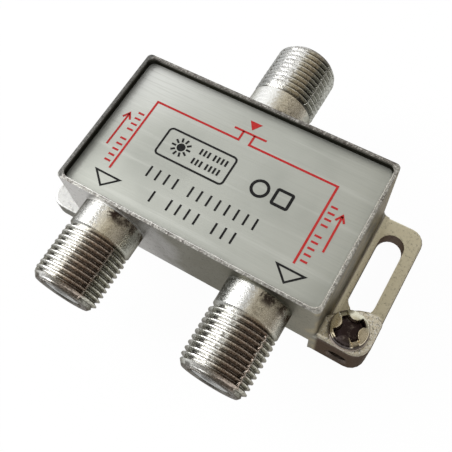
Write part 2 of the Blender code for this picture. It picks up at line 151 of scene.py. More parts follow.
def speckle(tree, noise, spread, colour, spotColour):
    # another colour where a noise, or a place, is past the start of its spread
    return mixColour(tree, rampValue(tree, noise, *spread), colour, spotColour)


def shade(tree, factor, colour, grey):
    return mixColour(tree, factor, colour, (grey,) * 3, "MULTIPLY")


def fromLevel(level, offsets):
    # offsets turned into places, counted from a level
    return tuple(level + offset for offset in offsets)


def setShader(tree, shader, colour, roughness, metallic=0.0):
    # colour and roughness are sockets, metallic is a number
    tree.links.new(colour, shader.inputs["Base Color"])
    tree.links.new(roughness, shader.inputs["Roughness"])
    shader.inputs["Metallic"].default_value = metallic


# Plated casting
castingLook = {
    # painted light and shade on the walls, lighter towards the left ear and darker towards the right one:
    # millimetres along the body, colour
    "wallShadingBands": (
        (-20, (0.84, 0.84, 0.83)),
        (-14, (0.80, 0.80, 0.79)),
        (-8, (0.66, 0.66, 0.65)),
        (-4, (0.50, 0.50, 0.49)),
        (-1, (0.32, 0.32, 0.29)),
        (8, (0.24, 0.24, 0.21)),
        (14, (0.32, 0.32, 0.28)),
        (19, (0.36, 0.35, 0.30)),
        (20, (0.46, 0.42, 0.32)),
    ),
    # painted highlight and shade round a port, a white band at the upper left and darker towards the right:
    # degrees from its top towards the right ear, colour
    "threadPaintedBands": (
        (-180, (0.30, 0.30, 0.27)),
        (-78, (0.50, 0.51, 0.48)),
        (-46, (0.70, 0.71, 0.67)),
        (-30, (0.78, 0.78, 0.75)),
        (-22, (0.86, 0.86, 0.84)),
        (-7, (0.80, 0.80, 0.77)),
        (7, (0.58, 0.53, 0.46)),
        (19, (0.58, 0.49, 0.42)),
        (50, (0.58, 0.49, 0.42)),
        (52, (0.30, 0.25, 0.21)),
        (54, (0.30, 0.25, 0.21)),
        (60, (0.64, 0.63, 0.55)),
        (100, (0.60, 0.60, 0.53)),
        (180, (0.30, 0.30, 0.27)),
    ),
    # the same painted highlight and shade round the input port
    "inputPaintedBands": (
        (-180, (0.30, 0.30, 0.27)),
        (-78, (0.40, 0.41, 0.40)),
        (-46, (0.58, 0.59, 0.58)),
        (-24, (0.90, 0.90, 0.89)),
        (-2, (0.88, 0.88, 0.86)),
        (8, (0.72, 0.68, 0.58)),
        (30, (0.62, 0.56, 0.45)),
        (38, (0.46, 0.46, 0.41)),
        (51, (0.42, 0.42, 0.38)),
        (58, (0.58, 0.58, 0.53)),
        (100, (0.48, 0.49, 0.45)),
        (180, (0.30, 0.30, 0.27)),
    ),
    # and round the necks
    "neckPaintedBands": (
        (-180, (0.34, 0.34, 0.31)),
        (-72, (0.66, 0.67, 0.62)),
        (-46, (0.72, 0.73, 0.69)),
        (-28, (0.86, 0.86, 0.84)),
        (-8, (0.84, 0.84, 0.81)),
        (4, (0.52, 0.49, 0.42)),
        (12, (0.64, 0.60, 0.50)),
        (26, (0.76, 0.70, 0.56)),
        (50, (0.58, 0.53, 0.44)),
        (70, (0.42, 0.42, 0.37)),
        (180, (0.34, 0.34, 0.31)),
    ),
    # painted light on walls that face left
    "leftFacingWallLight": (0.50, 0.50, 0.48),
    "rimFront": (0.36, 0.355, 0.33),
    # painted shade on the rim's top, darker at the back and darkest on the left, and painted light on the
    # right
    "rimBack": (0.26, 0.25, 0.23),
    "rimLeft": (0.10, 0.10, 0.095),
    "rimRight": (0.47, 0.465, 0.43),
    "rimMottle": (0.085, 0.07, 0.065),
    "rimFleck": (0.66, 0.64, 0.60),
    "earTop": (0.64, 0.59, 0.44),
    # the ears' sides darker than their tops as painted shade, and the left ear greyer with lighter sides as
    # painted light
    "leftEarTopPaintedLight": (0.40, 0.40, 0.39),
    "earSidePaintedShade": (0.13, 0.105, 0.09),
    "leftEarSidePaintedLight": (0.30, 0.30, 0.28),
    # the block's top: its speckled tone, made lighter as painted light, with painted glints
    "blockTopToneAndLight": (0.80, 0.74, 0.60),
    "blockGlint": (0.96, 0.94, 0.88),
    "endFace": (0.20, 0.19, 0.175),
    # painted shade on the walls of the recess round the cover
    "coverRecessShade": (0.035, 0.035, 0.03),
    "speck": (0.09, 0.08, 0.065),
    "earGlint": (0.66, 0.62, 0.52),
    "turnGlint": (0.80, 0.77, 0.70),
    # painted dark reflection on the necks near the body
    "neckPaintedDarkReflection": (0.10, 0.075, 0.06),
    "neckBlot": (0.04, 0.026, 0.022),
    # painted shadow in the thread's roots
    "rootPaintedShadow": (0.06, 0.052, 0.048),
    "rootShade": 0.50,
    "outputNeckShade": 0.60,
    "leftNeckShade": 0.78,
    "edgeTint": (0.30, 0.28, 0.26, 1.0),
    "wallRoughness": 0.38,
    "earRoughness": 0.45,
    "portRoughness": 0.24,
    "roughnessChange": (0.35, 0.7, -0.05, 0.16),
    "bump": (0.7, 0.000022),
    "cloudBump": 1.4,
    "portBump": 1.6,
    # where a finish starts and where it is full, out from the front and back walls
    "portReach": (0.05 * mm, 0.25 * mm),
    "threadedReach": (3.7 * mm, 4.1 * mm),
    "stainReach": (2.2 * mm, 0.9 * mm),
    "blotReach": (1.9 * mm, 0.9 * mm),
    "rimBackReach": (-0.8 * mm, -0.6 * mm),
    "earReach": (-0.1 * mm, 0.5 * mm),  # out from the side walls
    "endReach": (-0.22 * mm, -0.05 * mm),  # from a port's end
    "rimReach": (-0.12 * mm, -0.05 * mm),  # from the rim's top
    "rootReach": (4.52 * mm, 4.27 * mm),  # from a port's axis
    "rimLeftReach": (-18.4 * mm, -18.9 * mm),  # places along the body, as are the next two
    "rimRightReach": (18.4 * mm, 18.9 * mm),
    "leftReach": (3 * mm, -3 * mm),
    "inputHalf": (-1 * mm, 1 * mm),  # across the body
    "mottleReach": (8 * mm, 24 * mm),  # along the diagonal to the front right corner
    "upwardSlope": (0.45, 0.85),  # of the surface's normal
    "leftwardSlope": (-0.6, -0.9),
    # the same in degrees round a port, for both sides of a band
    "blotAngles": ((9.0, 16.0), (38.0, 28.0)),
    "litAngles": ((-110.0, -60.0), (6.0, -5.0)),
    "rootShadowAngles": ((-50.0, -46.0), (-32.0, -36.0)),
    "darkAngles": ((32.0, 37.0), (52.0, 48.0)),
    "darkPatchAngle": (8.0, 20.0),  # one side only
    "wallFromPlate": 0.85 * mm,
    "pocketFromPlate": 0.36 * mm,
    "pocketBelowRim": 0.07 * mm,
    "pocketBelowPlate": 2 * mm,
    "earTopHeight": 2.8 * mm,
    "blockBelowScrew": 2.5 * mm,
    "holeReach": 1.9 * mm,
    "holeTop": 4.5 * mm,
    # scale, detail and roughness of each noise
    "cloudNoise": (260.0, 4.0, 0.55),
    "speckNoise": (2600.0, 5.0, 0.7),
    "blotNoise": (900.0, 4.0, 0.6),
    "glintNoise": (3300.0, 3.0, 0.6),
    "grainNoise": (5200.0, 6.0, 0.65),
    # spots: the noise where they start and where they are full, and their strength there
    "rimBlots": (0.46, 0.66),
    "rimSpecks": (0.50, 0.60, 0.0, 0.60),
    "rimFlecks": (0.53, 0.62, 0.0, 0.50),
    "neckPaintedDarkReflectionSpots": (0.44, 0.58, 0.0, 0.9),
    "neckBlots": (0.36, 0.52, 0.5, 0.95),
    "turnGlints": (0.52, 0.66, 0.0, 0.35),
    "turnSpecks": (0.50, 0.62, 0.0, 0.50),
    "plainSpecks": (0.54, 0.70, 0.0, 0.50),
    "earGlints": (0.56, 0.72, 0.0, 0.40),
    "blockGlints": (0.50, 0.62, 0.0, 0.85),
    "blockSpecks": (0.52, 0.62, 0.0, 0.6),
    # the range of a noise, and what it gives at both ends
    "grit": (0.42, 0.58, 0.66, 1.30),
    "smear": (0.3, 0.7, -1.5 * mm, 1.5 * mm),
    "wander": (0.3, 0.7, -7.0, 7.0),
    "mottleShare": (0.80, 0.30),  # at both ends of its reach
    "rimLeftShare": 0.85,
    "litRootShare": 0.8,
    "litGritShare": 0.6,
    "inputGritShare": 0.35,
    "rootShadowShare": 0.75,
    "portSpeckShare": 0.75,
}


def portPlace(tree, x, y, z):
    # distance from the axis of the nearest port, and degrees round it
    lowBox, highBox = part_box("insulator_out_right")
    portX = (lowBox.x + highBox.x) / 2
    portZ = (lowBox.z + highBox.z) / 2
    middle = product(tree, math2(tree, "SIGN", x), portX, below(tree, y, 0.0))
    aside = math2(tree, "SUBTRACT", x, middle)
    rise = math2(tree, "SUBTRACT", z, portZ)
    squares = math2(tree, "ADD", product(tree, aside, aside), product(tree, rise, rise))
    angle = product(tree, math2(tree, "ARCTAN2", aside, rise), 180 / math.pi)
    return math2(tree, "SQRT", squares), angle


def bandColour(tree, value, bands, unit=1.0):
    # a colour that changes with value through the bands, each given as (place, colour)
    low, high = bands[0][0], bands[-1][0]
    node = addNode(tree, "ShaderNodeValToRGB")
    ramp = node.color_ramp
    for where, colour in bands[1:-1]:
        ramp.elements.new((where - low) / (high - low)).color = (*colour, 1.0)
    ramp.elements[0].color = (*bands[0][1], 1.0)
    ramp.elements[-1].color = (*bands[-1][1], 1.0)
    place = math2(tree, "SUBTRACT", math2(tree, "DIVIDE", value, unit), low)
    tree.links.new(math2(tree, "DIVIDE", place, high - low), node.inputs[0])
    return node.outputs[0]


def gritty(tree, colour, grit):
    # the colour made lighter and darker from grain to grain
    scaled = addNode(tree, "ShaderNodeVectorMath", {"operation": "SCALE"})
    tree.links.new(colour, scaled.inputs[0])
    tree.links.new(grit, scaled.inputs["Scale"])
    return scaled.outputs[0]


def castingMasks(tree):
    # where a point of the casting lies, how much of each finish it has, and the noises there
    look = castingLook
    place, x, y, z = objectPlace(tree)
    plateLow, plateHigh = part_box("cover_plate")
    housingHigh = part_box("housing")[1]
    screwLow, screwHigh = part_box("ground_screw")
    wallX = plateHigh.x + look["wallFromPlate"]
    wallY = plateHigh.y + look["wallFromPlate"]
    across = math2(tree, "ABSOLUTE", x)
    along = math2(tree, "ABSOLUTE", y)
    radius, angle = portPlace(tree, x, y, z)
    facing = addNode(tree, "ShaderNodeSeparateXYZ")
    tree.links.new(addNode(tree, "ShaderNodeNewGeometry").outputs["Normal"], facing.inputs[0])
    # the wire hole and the slopes between the ear and the block's top keep the painted shade of the sides
    fromHole = math2(tree, "ABSOLUTE", math2(tree, "SUBTRACT", x, screwLow.x * 0.5 + screwHigh.x * 0.5))
    hole = product(tree, below(tree, fromHole, look["holeReach"]), below(tree, y, screwHigh.y),
                   below(tree, z, look["holeTop"]))
    onBlock = above(tree, z, screwHigh.z - look["blockBelowScrew"])
    level = math2(tree, "MAXIMUM", below(tree, z, look["earTopHeight"]), onBlock)
    upward = rampValue(tree, facing.outputs[2], *look["upwardSlope"])
    upward = product(tree, upward, level, without(tree, hole))
    diagonal = math2(tree, "SUBTRACT", x, y)
    # what each reach is measured along, and from where
    reaches = {
        "ear": (across, wallX),
        "port": (along, wallY),
        "threaded": (along, wallY),
        "stain": (along, wallY),
        "blot": (along, wallY),
        "end": (along, housingHigh.y),
        "rim": (z, housingHigh.z),
        "rimBack": (y, wallY),
        "rimRight": (x, 0.0),
        "left": (x, 0.0),
        "root": (radius, 0.0),
    }
    masks = {name: rampValue(tree, value, *fromLevel(level, look[name + "Reach"]))
             for name, (value, level) in reaches.items()}
    masks["root"] = product(tree, masks["threaded"], masks["root"])
    masks.update({
        "x": x,
        "angle": angle,
        "upward": upward,
        "earUpward": product(tree, upward, masks["ear"]),
        "block": product(tree, upward, masks["ear"], onBlock),
        "leftward": rampValue(tree, facing.outputs[0], *look["leftwardSlope"]),
        "input": above(tree, y, 0.0),
        "output": below(tree, y, 0.0),
        "inputGrit": rampValue(tree, y, *look["inputHalf"], 1.0, look["inputGritShare"]),
        "lit": windowValue(tree, angle, *look["litAngles"]),
        "rimLeft": rampValue(tree, x, *look["rimLeftReach"], 0.0, look["rimLeftShare"]),
        "mottle": rampValue(tree, diagonal, *look["mottleReach"], *look["mottleShare"]),
        "coverRecessShade": product(tree, below(tree, across, plateHigh.x + look["pocketFromPlate"]),
                          below(tree, along, plateHigh.y + look["pocketFromPlate"]),
                          below(tree, z, housingHigh.z - look["pocketBelowRim"]),
                          above(tree, z, plateLow.z - look["pocketBelowPlate"])),
    })
    noises = {name: noiseAt(tree, place, *look[name + "Noise"])
              for name in ("cloud", "speck", "blot", "glint", "grain")}
    noises["grit"] = rampValue(tree, noises["grain"], *look["grit"])
    return masks, noises


def wallWithPaintedLight(tree, masks, noises):
    # painted light and shade on the walls: bands along the body, and lighter where a wall faces left
    moved = math2(tree, "ADD", masks["x"], rampValue(tree, noises["cloud"], *castingLook["smear"]))
    wall = bandColour(tree, moved, castingLook["wallShadingBands"], mm)
    return mixColour(tree, masks["leftward"], wall, castingLook["leftFacingWallLight"])


def rimWithPaintedLight(tree, masks, noises):
    look = castingLook
    # painted shade at the back and on the left of the rim's top, painted light on its right, and random
    # mottling
    top = mixColour(tree, masks["rimBack"], look["rimFront"], look["rimBack"])
    top = mixColour(tree, masks["rimRight"], top, look["rimRight"])
    mottle = product(tree, rampValue(tree, noises["blot"], *look["rimBlots"]), masks["mottle"])
    top = mixColour(tree, mottle, top, look["rimMottle"])
    top = speckle(tree, noises["speck"], look["rimSpecks"], top, look["rimMottle"])
    top = speckle(tree, noises["glint"], look["rimFlecks"], top, look["rimFleck"])
    top = mixColour(tree, masks["rimLeft"], top, look["rimLeft"])
    return gritty(tree, top, noises["grit"])


def earWithPaintedLight(tree, masks):
    # painted shade: sides darker than tops; painted light: the left ear greyer, with lighter sides
    top = mixColour(tree, masks["left"], castingLook["earTop"], castingLook["leftEarTopPaintedLight"])
    side = mixColour(tree, masks["left"], castingLook["earSidePaintedShade"], castingLook["leftEarSidePaintedLight"])
    return mixColour(tree, masks["upward"], side, top)


def neckWithPaintedLight(tree, masks, noises, wander):
    # painted highlight and shade on the necks, with a painted dark reflection near the body, and on the
    # outputs a darker blot and a dimmer painted highlight
    look = castingLook
    neck = bandColour(tree, wander, look["neckPaintedBands"])
    stain = product(tree, masks["stain"], rampValue(tree, masks["angle"], *look["darkPatchAngle"]),
                    rampValue(tree, noises["blot"], *look["neckPaintedDarkReflectionSpots"]))
    neck = mixColour(tree, stain, neck, look["neckPaintedDarkReflection"])
    blot = product(tree, windowValue(tree, wander, *look["blotAngles"]), masks["blot"], masks["output"],
                   rampValue(tree, noises["speck"], *look["neckBlots"]))
    neck = mixColour(tree, blot, neck, look["neckBlot"])
    dim = product(tree, masks["lit"], masks["output"])
    neck = shade(tree, dim, neck, look["outputNeckShade"])
    return shade(tree, product(tree, dim, masks["left"]), neck, look["leftNeckShade"])


def portWithPaintedLight(tree, masks, noises):
    look = castingLook
    # painted highlight and shade by angle round each port, made uneven by noise
    wander = math2(tree, "ADD", masks["angle"], rampValue(tree, noises["speck"], *look["wander"]))
    turns = mixColour(tree, masks["input"], bandColour(tree, wander, look["threadPaintedBands"]),
                      bandColour(tree, wander, look["inputPaintedBands"]))
    turns = speckle(tree, noises["glint"], look["turnGlints"], turns, look["turnGlint"])
    turns = speckle(tree, noises["speck"], look["turnSpecks"], turns, look["speck"])
    plating = mixColour(tree, masks["threaded"], neckWithPaintedLight(tree, masks, noises, wander), turns)
    # painted shade in the thread's roots, less of it in the painted white band
    shaded = product(tree, masks["root"], without(tree, masks["lit"], look["litRootShare"]))
    plating = shade(tree, shaded, plating, look["rootShade"])
    # painted shadows in the roots: left of the painted white band, and on the input port's dark side
    darkSide = product(tree, windowValue(tree, masks["angle"], *look["darkAngles"]), masks["input"])
    rootShadows = math2(tree, "MAXIMUM", windowValue(tree, masks["angle"], *look["rootShadowAngles"]), darkSide)
    rootShadows = product(tree, rootShadows, masks["root"], look["rootShadowShare"])
    plating = mixColour(tree, rootShadows, plating, look["rootPaintedShadow"])
    gritShare = product(tree, masks["threaded"], masks["inputGrit"],
                        without(tree, masks["lit"], look["litGritShare"]))
    return mixColour(tree, gritShare, plating, gritty(tree, plating, noises["grit"]))


def blockWithPaintedLight(tree, noises):
    # speckled top of the block, lighter as painted light, with painted glints
    look = castingLook
    top = speckle(tree, noises["glint"], look["blockGlints"], look["blockTopToneAndLight"], look["blockGlint"])
    return speckle(tree, noises["speck"], look["blockSpecks"], top, look["speck"])


def platedCasting():
    look = castingLook
    material, tree, shader = startMaterial("platedCasting")
    masks, noises = castingMasks(tree)
    colour = mixColour(tree, masks["rim"], wallWithPaintedLight(tree, masks, noises), rimWithPaintedLight(tree, masks, noises))
    colour = mixColour(tree, masks["ear"], colour, earWithPaintedLight(tree, masks))
    colour = mixColour(tree, masks["port"], colour, portWithPaintedLight(tree, masks, noises))
    colour = mixColour(tree, masks["end"], colour, look["endFace"])
    dark = product(tree, without(tree, masks["port"], look["portSpeckShare"]),
                   rampValue(tree, noises["speck"], *look["plainSpecks"]))
    colour = mixColour(tree, dark, colour, look["speck"])
    bright = product(tree, masks["earUpward"], rampValue(tree, noises["glint"], *look["earGlints"]))
    colour = mixColour(tree, bright, colour, look["earGlint"])
    colour = mixColour(tree, masks["block"], colour, blockWithPaintedLight(tree, noises))
    # painted shade in the recess round the cover
    colour = mixColour(tree, masks["coverRecessShade"], colour, look["coverRecessShade"])

    rough = mixColour(tree, masks["ear"], (look["wallRoughness"],) * 3, (look["earRoughness"],) * 3)
    rough = mixColour(tree, masks["port"], rough, (look["portRoughness"],) * 3)
    change = rampValue(tree, noises["speck"], *look["roughnessChange"])
    setShader(tree, shader, colour, math2(tree, "ADD", rough, change, clamp=True), 1.0)
    shader.inputs["Specular Tint"].default_value = look["edgeTint"]
    height = math2(tree, "ADD", noises["grain"], product(tree, noises["cloud"], look["cloudBump"]))
    height = math2(tree, "ADD", height, product(tree, noises["speck"], masks["port"], look["portBump"]))
    addBump(tree, shader, height, *look["bump"])
    return material


# Printed sheet of the cover
coverLook = {
    "colour": (0.42, 0.43, 0.39),
    "shade": (0.36, 0.37, 0.335),
    "streak": (0.52, 0.53, 0.49),
    "sheen": (0.66, 0.67, 0.64),
    "metallic": 0.75,
    "roughness": 0.40,
    # scale and detail of each noise, some with roughness and stretch
    "cloudNoise": (90.0, 3.0),
    "streakNoise": (700.0, 4.0, 0.6, (0.045, 1.0, 1.0)),
    "fineNoise": (5200.0, 2.0, 0.5, (0.03, 1.0, 1.0)),
    "cloudSpread": (0.35, 0.65),
    "streakSpread": (0.52, 0.74, 0.0, 0.5),
    "fineSpread": (0.45, 0.70, 0.0, 0.35),
    "roughnessChange": (0.3, 0.7, -0.05, 0.05),
    "sheenSlant": 0.7,
    "sheenReach": (7 * mm, 24 * mm),  # towards the back left corner
    "bump": (0.25, 0.000006),
}


def brushedSheet():
    look = coverLook
    material, tree, shader = startMaterial("brushedSheet")
    place, x, y = objectPlace(tree)[:3]
    cloud = noiseAt(tree, place, *look["cloudNoise"])
    streak = noiseAt(tree, place, *look["streakNoise"])
    fine = noiseAt(tree, place, *look["fineNoise"])
    colour = speckle(tree, cloud, look["cloudSpread"], look["colour"], look["shade"])
    colour = speckle(tree, streak, look["streakSpread"], colour, look["streak"])
    corner = math2(tree, "SUBTRACT", y, product(tree, x, look["sheenSlant"]))
    colour = speckle(tree, corner, look["sheenReach"], colour, look["sheen"])
    colour = speckle(tree, fine, look["fineSpread"], colour, look["shade"])
    rough = math2(tree, "ADD", rampValue(tree, fine, *look["roughnessChange"]), look["roughness"])
    setShader(tree, shader, colour, rough, look["metallic"])
    addBump(tree, shader, math2(tree, "ADD", streak, fine), *look["bump"])
    return material


inkLook = {
    "red": ((0.40, 0.022, 0.022), (0.44, 0.13, 0.11)),  # full and thin
    "black": ((0.008, 0.008, 0.008), (0.05, 0.05, 0.05)),
    "noise": (3800.0, 4.0),
    "thinSpread": (0.50, 0.78, 0.0, 0.5),
    "roughness": (0.3, 0.7, 0.38, 0.55),
    "shine": 0.12,
}


def printInk(name, colours):
    # ink with small breaks in its colour where the sheet shows through
    material, tree, shader = startMaterial(name)
    wear = noiseAt(tree, objectPlace(tree)[0], *inkLook["noise"])
    setShader(tree, shader, speckle(tree, wear, inkLook["thinSpread"], *colours),
              rampValue(tree, wear, *inkLook["roughness"]))
    shader.inputs["Specular IOR Level"].default_value = inkLook["shine"]
    return material


plainLook = {
    "detail": 4.0,
    "spread": (0.3, 0.7),
    "roughnessChange": (-0.05, 0.08),
    "bump": (0.3, 0.00001),
}


def plainFinish(name, colour, shadeColour, metallic, roughness, scale):
    # a two-tone grained finish for the parts that hardly show
    look = plainLook
    material, tree, shader = startMaterial(name)
    grain = noiseAt(tree, objectPlace(tree)[0], scale, look["detail"])
    rough = rampValue(tree, grain, *look["spread"], *fromLevel(roughness, look["roughnessChange"]))
    setShader(tree, shader, speckle(tree, grain, look["spread"], colour, shadeColour), rough, metallic)
    addBump(tree, shader, grain, *look["bump"])
    return material


insulatorLook = {
    "colour": (0.34, 0.34, 0.325),
    "shade": (0.27, 0.27, 0.26),
    # painted shade down the funnel
    "funnelPaintedShade": (0.022, 0.020, 0.018),
    "funnelRadius": 1.0 * mm,
    "funnelReach": (0.06 * mm, -0.12 * mm),  # where the dark starts and is full, from that radius
    "noise": (1500.0, 4.0),
    "spread": (0.3, 0.7),
    "roughness": (0.3, 0.7, 0.40, 0.55),
    "bump": (0.3, 0.00001),
}


def portInsert():
    # moulded insert, with painted shade down its funnel
    look = insulatorLook
    material, tree, shader = startMaterial("portInsert")
    place, x, y, z = objectPlace(tree)
    grain = noiseAt(tree, place, *look["noise"])
    radius = portPlace(tree, x, y, z)[0]
    funnelShade = rampValue(tree, radius, *fromLevel(look["funnelRadius"], look["funnelReach"]))
    colour = speckle(tree, grain, look["spread"], look["colour"], look["shade"])
    colour = mixColour(tree, funnelShade, colour, look["funnelPaintedShade"])
    setShader(tree, shader, colour, rampValue(tree, grain, *look["roughness"]))
    addBump(tree, shader, grain, *look["bump"])
    return material


screwLook = {
    "top": (0.84, 0.74, 0.54),
    "light": (0.74, 0.72, 0.58),
    "stain": (0.055, 0.042, 0.040),
    # painted shade in the recess
    "screwRecessShade": (0.032, 0.022, 0.022),
    "flange": (0.34, 0.29, 0.25),
    # where each starts and where it is full
    "lightReach": (0.2 * mm, 1.6 * mm),  # behind the middle
    "stainReach": (-0.15 * mm, -0.55 * mm),  # in front of it
    "darkPatchShift": 0.1 * mm,
    "darkPatchSlant": 0.75,
    "screwRecessShadeReach": (-0.62 * mm, -0.95 * mm),  # from the top
    "flangeReach": (-1.26 * mm, -1.36 * mm),
    "noise": (1700.0, 4.0),
    "spread": (0.52, 0.76, 0.0, 0.45),
    "roughness": (0.3, 0.7, 0.20, 0.34),
    "bump": (0.3, 0.00001),
}


def stainedScrew():
    # yellowed plating, with painted shade in its recess and a darker front quarter
    look = screwLook
    material, tree, shader = startMaterial("stainedScrew")
    place, x, y, z = objectPlace(tree)
    lowBox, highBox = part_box("ground_screw")
    middle = (lowBox + highBox) / 2
    grain = noiseAt(tree, place, *look["noise"])
    byX = math2(tree, "SUBTRACT", x, middle.x)
    byY = math2(tree, "SUBTRACT", y, middle.y)
    aside = math2(tree, "ADD", math2(tree, "ABSOLUTE", math2(tree, "ADD", byX, look["darkPatchShift"])),
                  product(tree, byY, look["darkPatchSlant"]))
    colour = speckle(tree, byY, look["lightReach"], look["top"], look["light"])
    colour = speckle(tree, aside, look["stainReach"], colour, look["stain"])
    # painted shade down the recess, then the flange's own colour below it
    for name in ("screwRecessShade", "flange"):
        depth = rampValue(tree, z, *fromLevel(highBox.z, look[name + "Reach"]))
        colour = mixColour(tree, depth, colour, look[name])
    colour = speckle(tree, grain, look["spread"], colour, look["flange"])
    setShader(tree, shader, colour, rampValue(tree, grain, *look["roughness"]), 1.0)
    addBump(tree, shader, grain, *look["bump"])
    return material


casting = platedCasting()
sheet = brushedSheet()
redInk = printInk("redInk", inkLook["red"])
blackInk = printInk("blackInk", inkLook["black"])
screwSteel = stainedScrew()
finishes = {
    "housing": casting,
    "cover_plate": sheet,
    "ground_screw": screwSteel,
    "insulator": portInsert(),
    # the parts inside: colour, second colour, metallic, roughness, scale of the grain
    "contact": plainFinish("tinnedSpring", (0.70, 0.64, 0.50), (0.55, 0.50, 0.40), 1.0, 0.28, 1800.0),
    "circuit_board": plainFinish("greenLaminate", (0.05, 0.24, 0.10), (0.04, 0.16, 0.07), 0.0, 0.45, 900.0),
    "core": plainFinish("blackFerrite", (0.035, 0.035, 0.04), (0.07, 0.07, 0.075), 0.0, 0.60, 2400.0),
    "rod": plainFinish("greyFerrite", (0.05, 0.05, 0.055), (0.09, 0.09, 0.09), 0.0, 0.62, 2400.0),
    "winding": plainFinish("redEnamelWire", (0.45, 0.09, 0.04), (0.30, 0.05, 0.02), 0.6, 0.30, 1600.0),
    "coil": plainFinish("bareCopperWire", (0.72, 0.36, 0.18), (0.55, 0.24, 0.11), 1.0, 0.28, 1600.0),
    "capacitor": plainFinish("tanCeramic", (0.46, 0.33, 0.20), (0.36, 0.25, 0.15), 0.0, 0.50, 2200.0),
    "resistor": plainFinish("blueLacquer", (0.20, 0.36, 0.52), (0.14, 0.26, 0.40), 0.0, 0.30, 1400.0),
    "diode": plainFinish("blackMoulding", (0.02, 0.02, 0.02), (0.04, 0.04, 0.04), 0.0, 0.42, 2200.0),
}
for nodeName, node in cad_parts.items():
    finish = next(value for key, value in finishes.items() if key in nodeName)
    node.data.materials.clear()
    node.data.materials.append(finish)
print("finishes on the solids")


# Helpers for pieces
def addToScene(name, data):
    thing = bpy.data.objects.new(name, data)
    bpy.context.scene.collection.objects.link(thing)
    return thing


def joinLoops(builder, loops):
    # a strip of faces between each loop of corners and the next
    for loop, after in zip(loops, loops[1:]):
        for index in range(len(loop)):
            following = (index + 1) % len(loop)
            builder.faces.new((loop[index], loop[following], after[following], after[index]))


def addPiece(name, builder, material, smoothAngle=None):
    mesh = bpy.data.meshes.new(name)
    builder.to_mesh(mesh)
    builder.free()
    mesh.materials.append(material)
    mesh.shade_smooth()
    if smoothAngle:
        mesh.set_sharp_from_angle(angle=math.radians(smoothAngle))
    piece = addToScene(name, mesh)
    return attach(piece, "root")


# Port threads
thread = {
    "outerRadius": 4.74 * mm,
    "rootRadius": 4.225 * mm,
    "hiddenRadius": 4.10 * mm,
    "neckRadius": 4.666 * mm,
    "pitch": 0.794 * mm,
    # one turn: share of the pitch from the crest, share of the depth
    "turnProfile": ((-0.085, 1.0), (0.0, 1.02), (0.085, 1.0), (0.26, 0.5), (0.43, 0.03), (0.50, 0.0),
                    (0.57, 0.03), (0.74, 0.5)),
    "bodyFromEnd": 12.29 * mm,
    "neckFromEnd": 8.70 * mm,
    "startFromEnd": 8.263 * mm,
    "stopFromEnd": 0.06 * mm,
    "fade": 0.3 * mm,
    "wobble": 0.010 * mm,
    "wobbleWaves": (0.19, 5.3),  # by degree and by turn
    "endRadius": 4.0 * mm,
    "endSlope": 0.85,
    "seamAngles": (53, -53),
    "seamHalfWidth": 1.6,
    "seamCrest": 0.84,  # share of the thread's depth that a seam fills in its middle
    "seamSide": 0.45,  # and at its sides
    "seamMiddle": 1,
    "seamSteps": (-3.0, -1.6, -0.8, 0.8, 1.6, 3.0),
    "angleStep": 4,
    "endTaper": 0.14,
}


def threadAngles():
    # even steps round the port, with more of them at the casting seams; 0 is the top
    angles = set(range(-180, 180, thread["angleStep"]))
    for seam in thread["seamAngles"]:
        for offset in thread["seamSteps"]:
            angles.add(seam + offset)
    return sorted(angles)


def threadRadius(fromEnd, height, degrees, turns):
    # radius at one place of a turn, fading in from the neck and cut by the port's end chamfer
    if fromEnd > thread["startFromEnd"]:
        return thread["hiddenRadius"]
    fadeIn = min(1.0, (thread["startFromEnd"] - fromEnd) / thread["fade"])
    seamGap = min(abs(degrees - seam) for seam in thread["seamAngles"])
    if seamGap <= thread["seamHalfWidth"]:
        height = max(height, thread["seamCrest"] if seamGap < thread["seamMiddle"] else thread["seamSide"])
    radius = thread["rootRadius"] + (thread["outerRadius"] - thread["rootRadius"]) * height * fadeIn
    byDegree, byTurn = thread["wobbleWaves"]
    radius += thread["wobble"] * math.sin(degrees * byDegree + turns * byTurn) * height
    return min(radius, thread["endRadius"] + max(fromEnd, thread["stopFromEnd"]) * thread["endSlope"])


